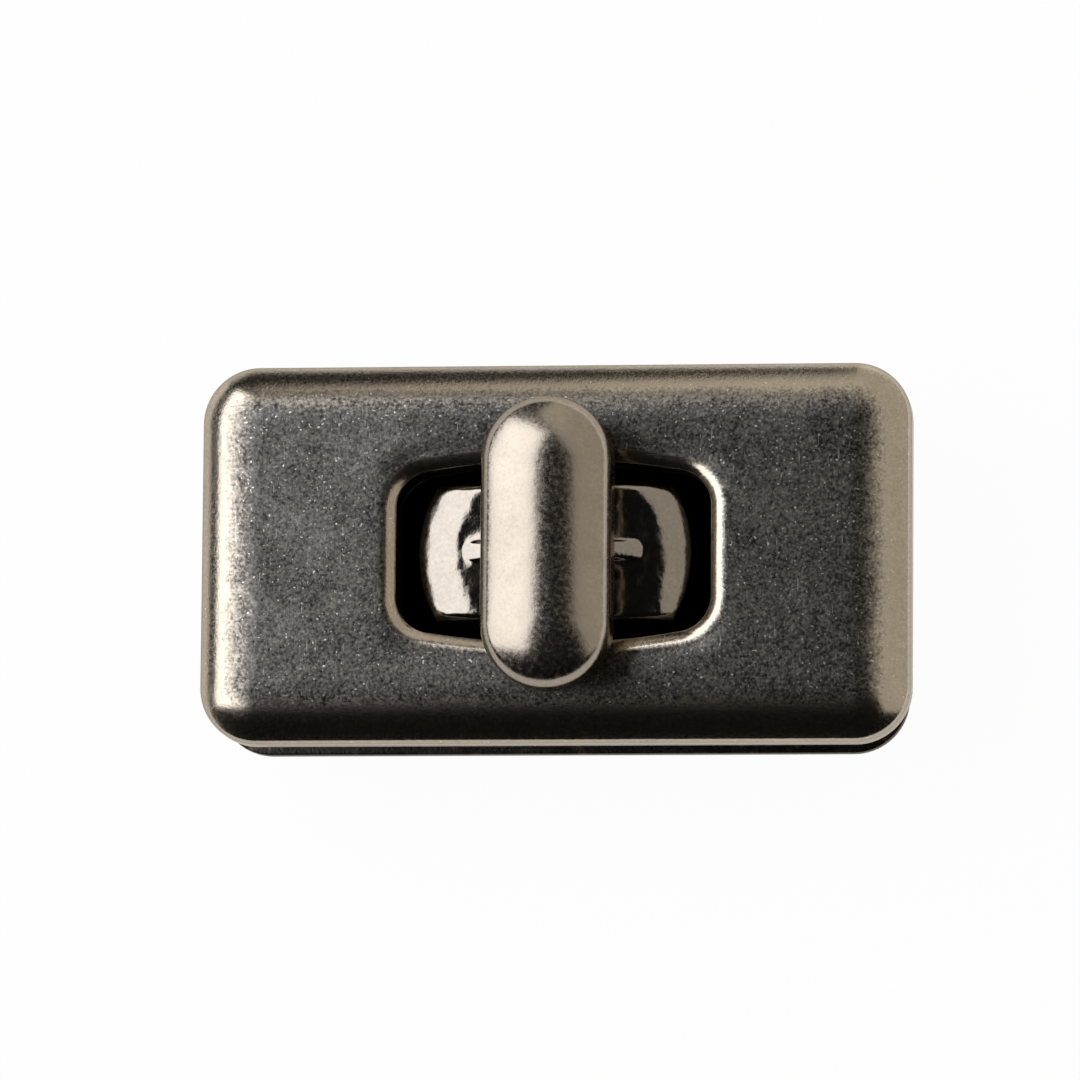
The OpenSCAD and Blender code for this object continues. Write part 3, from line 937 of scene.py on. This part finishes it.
def turn_knob():
    """The knob: domed bar, neck, journal, square shaft and riveted tail."""
    section, stretch = knob_section()
    z_square = Z_COVER + END_PLAY
    z_rivet = knob_low[2]
    tail_r, rivet_r, b = TAIL_D / 2, RIVET_D / 2, CAST_BREAK
    tail = [(0, z_square + b), (tail_r, z_square + b), (tail_r, z_rivet + RIVET_H)]
    tail += [(rivet_r - b, z_rivet + RIVET_H)]
    tail += fillet(90, -90, (rivet_r - RIVET_H / 2, z_rivet + RIVET_H / 2), RIVET_H / 2)
    tail += [(0, z_rivet)]
    bm = bmesh.new()
    add_mesh(bm, turn(section, knob_nickel, stretch, KNOB_L - KNOB_W))
    add_mesh(bm, turn(tail, knob_nickel))
    corner_r = SHAFT_SQ / 2 - JOURNAL_D / 2 / math.sqrt(2) + b
    shaft = round_rect_loop(SHAFT_SQ, SHAFT_SQ, max(corner_r, b))
    loft(bm, [ring(shaft, z_square), ring(shaft, Z_CHAMBER)], closed=False)
    return new_piece("turn_knob_casting", mesh_from(bm, "turn_knob_casting"), knob_nickel)


# Stamped sheet pieces: flat outlines with holes, thickened and broken at their edges


def bends(loop):
    """The points of an outline at which it bends."""
    before = loop - np.roll(loop, 1, axis=0)
    after = np.roll(loop, -1, axis=0) - loop
    turning = before[:, 0] * after[:, 1] - before[:, 1] * after[:, 0]
    return loop[np.abs(turning) > STRAIGHT]


def stamped_sheet(name, loops, z_low, z_high):
    """The mesh of a flat sheet whose first loop is its outline and the others its holes."""
    curve = bpy.data.curves.new(name, "CURVE")
    curve.dimensions = "2D"
    curve.fill_mode = "BOTH"
    curve.extrude = (z_high - z_low) / 2 * MM - SHEET_BREAK * MM
    curve.bevel_depth = SHEET_BREAK * MM
    curve.bevel_resolution = 2
    curve.offset = -SHEET_BREAK * MM
    for loop in map(bends, loops):
        spline = curve.splines.new("POLY")
        spline.points.add(len(loop) - 1)
        spline.points.foreach_set("co", [c for x, y in loop for c in (x * MM, y * MM, 0, 1)])
        spline.use_cyclic_u = True
    source = bpy.data.objects.new(name, curve)
    bpy.context.scene.collection.objects.link(source)
    mesh = plain_copy(source)
    bpy.data.objects.remove(source)
    mesh.transform(Matrix.Translation((0, 0, (z_low + z_high) / 2 * MM)))
    return mesh


def finish_sheet(name, mesh, material):
    """A sheet piece with its doubles merged and flat faces shaded flat."""
    piece = new_piece(name, merged(mesh, name), material)
    piece.data.set_sharp_from_angle(angle=SHARP_ANGLE)
    return piece


def cut_away(piece, cutter_mesh):
    """Cuts a shape out of a piece, and closes its seams again."""
    material = piece.data.materials[0]
    cutter = bpy.data.objects.new("cutter", merged(cutter_mesh, "cutter"))
    bpy.context.scene.collection.objects.link(cutter)
    modifier = piece.modifiers.new("cut", "BOOLEAN")
    modifier.operation = "DIFFERENCE"
    modifier.solver = "EXACT"
    modifier.object = cutter
    made = plain_copy(piece)
    piece.modifiers.remove(modifier)
    bpy.data.objects.remove(cutter)
    piece.data = merged(made, piece.name)
    piece.data.materials.append(material)
    piece.data.set_sharp_from_angle(angle=SHARP_ANGLE)


def flap_back_plate():
    """The black sheet behind the flap, with its window and countersunk screw holes."""
    low, high = back_low[2], back_high[2]
    loops = [round_rect_loop(BACK_L, BACK_W, BACK_CORNER_R), window_loop(BACK_WINDOW_GROW)]
    mesh = stamped_sheet("flap_back_sheet", loops, low, high)
    piece = finish_sheet("flap_back_sheet", mesh, black_sheet)
    head_r, hole_r = SCREW_HEAD_D / 2 + SCREW_ROOM, SCREW_D / 2 + SCREW_ROOM
    over = SHEET_BREAK
    hole = [
        (0, low - over),
        (head_r + over, low - over),
        (hole_r, low + head_r - hole_r),
        (hole_r, high + over),
        (0, high + over),
    ]
    cut_away(piece, turn(hole, black_sheet, copies=2, spacing=2 * POST_X))
    return piece


def flap_screws():
    """Two countersunk screws with a cross recess, heads down."""
    low, high = screw_low[2], screw_high[2]
    r, head_r, b = SCREW_D / 2, SCREW_HEAD_D / 2, SHEET_BREAK
    screw = [(0, low), (head_r - b, low), (head_r - b / 2, low + b / 2), (r, low + head_r - r)]
    screw += [(r, high - b), (r - b, high), (0, high)]
    bm = bmesh.new()
    add_mesh(bm, turn(screw, steel, copies=2, spacing=2 * POST_X))
    piece = new_piece("flap_screws", mesh_from(bm, "flap_screws"), steel)
    for length, width in ((SCREW_D, RECESS_W), (RECESS_W, SCREW_D)):
        recess = bmesh.new()
        for x in (-POST_X, POST_X):
            slot = round_rect_loop(length, width, RECESS_W / 4) + (x, 0)
            loft(recess, [ring(slot, low - b), ring(slot, low + RECESS_DEPTH)], closed=False)
        cut_away(piece, mesh_from(recess, "recess"))
    return piece


def bag_washer():
    """The washer behind the bag's panel, with a middle hole and four slits for the prongs."""
    length, width = (washer_high - washer_low)[:2]
    loops = [round_rect_loop(length, width, FLANGE_R), circle_loop(BAG_HOLE_D)]
    slit_l = TAB_X - LEG_X + 2 * SLOT_ROOM
    slit = round_rect_loop(slit_l, PRONG_W + 2 * SLOT_ROOM, SHEET_CORNER_R)
    for x in (-1, 1):
        for y in (-1, 1):
            loops.append(slit + (x * (LEG_X + TAB_X) / 2, y * PRONG_PITCH / 2))
    mesh = stamped_sheet("bag_washer_sheet", loops, washer_low[2], washer_high[2])
    return finish_sheet("bag_washer_sheet", mesh, steel)


def retaining_washer():
    """The washer that holds the knob's shaft under the prong plate."""
    d = retainer_high[0] - retainer_low[0]
    loops = [circle_loop(d), circle_loop(TAIL_D + 2 * RIVET_ROOM)]
    mesh = stamped_sheet("retaining_washer_ring", loops, retainer_low[2], retainer_high[2])
    return finish_sheet("retaining_washer_ring", mesh, steel)


def prong_path():
    """Middle line of a prong along +X, as (x, z, angle of the sheet's upper side) points."""
    half_t = SHEET_T / 2
    mid_r = BEND_R + half_t
    top_z, tab_z = Z_COVER - half_t, prong_low[2] + half_t
    tip_r = PRONG_W / 2
    up = math.pi / 2
    path = [(COVER_L / 2 - half_t, top_z, up)]
    for a in np.linspace(up, 0, ARCH_STEPS + 1):
        path.append((COVER_L / 2 + mid_r * math.cos(a), top_z - mid_r + mid_r * math.sin(a), a))
    for a in np.linspace(0, up, ARCH_STEPS + 1):
        path.append((TAB_X - mid_r * math.cos(a), tab_z + mid_r - mid_r * math.sin(a), a))
    for a in np.radians(np.linspace(0, TIP_LAST_DEG, ARCH_STEPS + 1)):
        path.append((TAB_END - tip_r + tip_r * math.sin(a), tab_z, up))
    return path


def prong_mesh():
    """One prong: out of the prong plate, down the leg and out under the bag washer."""
    tip_r = PRONG_W / 2
    rings = []
    for x, z, angle in prong_path():
        past = max(0, (x - (TAB_END - tip_r)) / tip_r)
        width = PRONG_W * math.sqrt(1 - past**2)
        section = round_rect_loop(width, SHEET_T, min(SHEET_BREAK, width / 4))
        across, through = section[:, 0], section[:, 1]
        out_x, out_z = math.cos(angle), math.sin(angle)
        rings.append(np.column_stack([x + through * out_x, across, z + through * out_z]))
    bm = bmesh.new()
    loft(bm, rings, closed=False)
    return mesh_from(bm, "prong")


def prong_plate():
    """The sheet that closes the spring chamber, with four prongs bent out of its ends."""
    width = prong_high[1] - prong_low[1]
    outline = round_rect_loop(COVER_L, width, SHEET_CORNER_R)
    hole = circle_loop(TAIL_D + 2 * END_PLAY)
    prongs = run_tree(prong_pattern, prong_mesh(), {"Pitch": PRONG_PITCH * MM, "Finish": steel})
    bm = bmesh.new()
    add_mesh(bm, stamped_sheet("cover", [outline, hole], Z_BASE, Z_COVER))
    add_mesh(bm, prongs)
    piece = new_piece("prong_plate_sheet", mesh_from(bm, "prong_plate_sheet"), steel)
    piece.data.set_sharp_from_angle(angle=SHARP_ANGLE)
    return piece


# What each piece rides on, the CAD nodes it stands for, and the name of its material slot
PIECES = [
    (front_plate(), "base", ["front_plate"], "plated_plate"),
    (flap_back_plate(), "base", ["flap_back_plate"], "black_sheet"),
    (flap_screws(), "base", ["flap_screw_left", "flap_screw_right"], "plated_steel"),
    (lock_base(), "base", ["lock_base"], "polished_casting"),
    (prong_plate(), "base", ["prong_plate"], "plated_steel"),
    (bag_washer(), "base", ["bag_washer"], "plated_steel"),
    (turn_knob(), "knob", ["turn_knob"], "polished_casting"),
    (retaining_washer(), "knob", ["retaining_washer"], "plated_steel"),
]
for piece, body, nodes, slot in PIECES:
    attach(piece, body)
    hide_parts(*nodes)

# The spring leaves keep their CAD shape
for node in ("detent_spring_upper", "detent_spring_lower"):
    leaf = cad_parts[node]
    leaf.data.materials.clear()
    leaf.data.materials.append(steel)


# Camera: where the photograph was taken from, as tilts off the plate's normal
CAMERA_TARGET = Vector((-0.617, 0.5, Z_FACE)) * MM
CAMERA_DISTANCE = 0.45
CAMERA_TILT_X = math.radians(6.25)
CAMERA_TILT_Y = math.radians(7.95)
CAMERA_ROLL = math.radians(0.48)
CAMERA_LENS = 306.7
CAMERA_SENSOR = 36.0
CAMERA_CLIP = (0.01, 100)


def make_camera():
    """The camera, square to the line from the target."""
    back = Vector((math.tan(CAMERA_TILT_X), -math.tan(CAMERA_TILT_Y), 1)).normalized()
    right = Vector((0, 1, 0)).cross(back).normalized()
    up = back.cross(right)
    rolled_right = right * math.cos(CAMERA_ROLL) + up * math.sin(CAMERA_ROLL)
    rolled_up = up * math.cos(CAMERA_ROLL) - right * math.sin(CAMERA_ROLL)
    data = bpy.data.cameras.new("camera")
    data.lens = CAMERA_LENS
    data.sensor_width = CAMERA_SENSOR
    data.clip_start, data.clip_end = CAMERA_CLIP
    camera = bpy.data.objects.new("camera", data)
    bpy.context.scene.collection.objects.link(camera)
    turn_matrix = Matrix((rolled_right, rolled_up, back)).transposed().to_4x4()
    place = Matrix.Translation(CAMERA_TARGET + back * CAMERA_DISTANCE)
    camera.matrix_world = place @ turn_matrix
    bpy.context.scene.camera = camera


# Studio: a pale floor, dark walls, lamps at the left, and cards at the right and the back
FLOOR_SIZE = 6.0
FLOOR_GAP = 0.00002
FLOOR_GLOW = 0.97
FLOOR_COLOUR = (0.8, 0.79, 0.77, 1)
HORIZON = 1.0
WALLS = 0.008
CEILING = 0.012

# Brightness of the studio by the height of a direction, from the horizon up
SKY = [(0.06, HORIZON), (0.12, WALLS), (0.72, WALLS), (0.88, CEILING), (1.0, CEILING)]

# Lamps: name, azimuth, degrees off the zenith, distance, width, height, radiance, colour
LAMPS = [
    ("left_softbox", 163, 41.5, 0.16, 0.22, 0.153, 3.1, (0.96, 0.98, 1.02)),
    ("left_low_card", 175, 83, 0.16, 0.30, 0.018, 1.0, (1.0, 0.97, 0.92)),
    ("right_card", 32, 57, 0.16, 0.48, 0.2, 0.7, (1.0, 0.94, 0.84)),
    ("back_card", 110, 47, 0.2, 0.22, 0.13, 0.12, (1.0, 0.97, 0.92)),
]


def make_floor():
    """A pale floor that reads white to the camera and in the metal, and takes the shadow."""
    half = FLOOR_SIZE / 2
    mesh = bpy.data.meshes.new("floor")
    corners = [(-half, -half, 0), (half, -half, 0), (half, half, 0), (-half, half, 0)]
    mesh.from_pydata(corners, [], [(0, 1, 2, 3)])
    material = bpy.data.materials.new("pale_floor")
    material.use_nodes = True
    tree = material.node_tree
    tree.nodes.clear()
    path = add_node(tree, "ShaderNodeLightPath").outputs
    seen = math_node(tree, "MAXIMUM", path["Is Camera Ray"], path["Is Glossy Ray"])
    seen = math_node(tree, "MAXIMUM", seen, path["Is Transmission Ray"])
    matt = add_node(tree, "ShaderNodeBsdfDiffuse", {"Color": FLOOR_COLOUR})
    glow = add_node(tree, "ShaderNodeEmission", {"Color": (1, 1, 1, 1), "Strength": 1.0})
    share = math_node(tree, "MULTIPLY", seen, FLOOR_GLOW)
    mixed = add_node(
        tree, "ShaderNodeMixShader", {0: share, 1: matt.outputs[0], 2: glow.outputs[0]}
    )
    end = add_node(tree, "ShaderNodeOutputMaterial")
    tree.links.new(mixed.outputs[0], end.inputs["Surface"])
    floor = new_piece("floor", mesh, material)
    floor.location.z = cad_low.z - FLOOR_GAP


def make_world():
    """Dim studio: a grey glow overhead, dark walls and a pale horizon that carries on the floor."""
    world = bpy.data.worlds.new("studio")
    bpy.context.scene.world = world
    world.use_nodes = True
    tree = world.node_tree
    direction = add_node(tree, "ShaderNodeTexCoord").outputs["Generated"]
    rise = add_node(tree, "ShaderNodeSeparateXYZ", {0: direction}).outputs["Z"]
    ramp = add_node(tree, "ShaderNodeValToRGB", {"Fac": rise})
    stops = ramp.color_ramp.elements
    while len(stops) < len(SKY):
        stops.new(1.0)
    for stop, (height, level) in zip(stops, SKY):
        stop.position = height
        stop.color = (level, level, level, 1)
    tree.links.new(ramp.outputs[0], tree.nodes["Background"].inputs["Color"])


def make_lamp(name, azimuth, off_zenith, distance, width, height, radiance, colour):
    """An area lamp that faces the front plate, with the radiance that the metal mirrors."""
    data = bpy.data.lights.new(name, "AREA")
    data.shape = "RECTANGLE"
    data.size = width
    data.size_y = height
    data.color = colour
    data.energy = radiance * math.pi * width * height
    lamp = bpy.data.objects.new(name, data)
    bpy.context.scene.collection.objects.link(lamp)
    a, z = math.radians(azimuth), math.radians(off_zenith)
    towards = Vector((math.sin(z) * math.cos(a), math.sin(z) * math.sin(a), math.cos(z)))
    lamp.location = Vector((0, 0, Z_FACE * MM)) + towards * distance
    lamp.rotation_mode = "QUATERNION"
    lamp.rotation_quaternion = towards.to_track_quat("Z", "Y")


make_camera()
make_floor()
make_world()
for lamp_values in LAMPS:
    make_lamp(*lamp_values)

bpy.context.scene.view_settings.view_transform = "Standard"

bpy.context.view_layer.update()
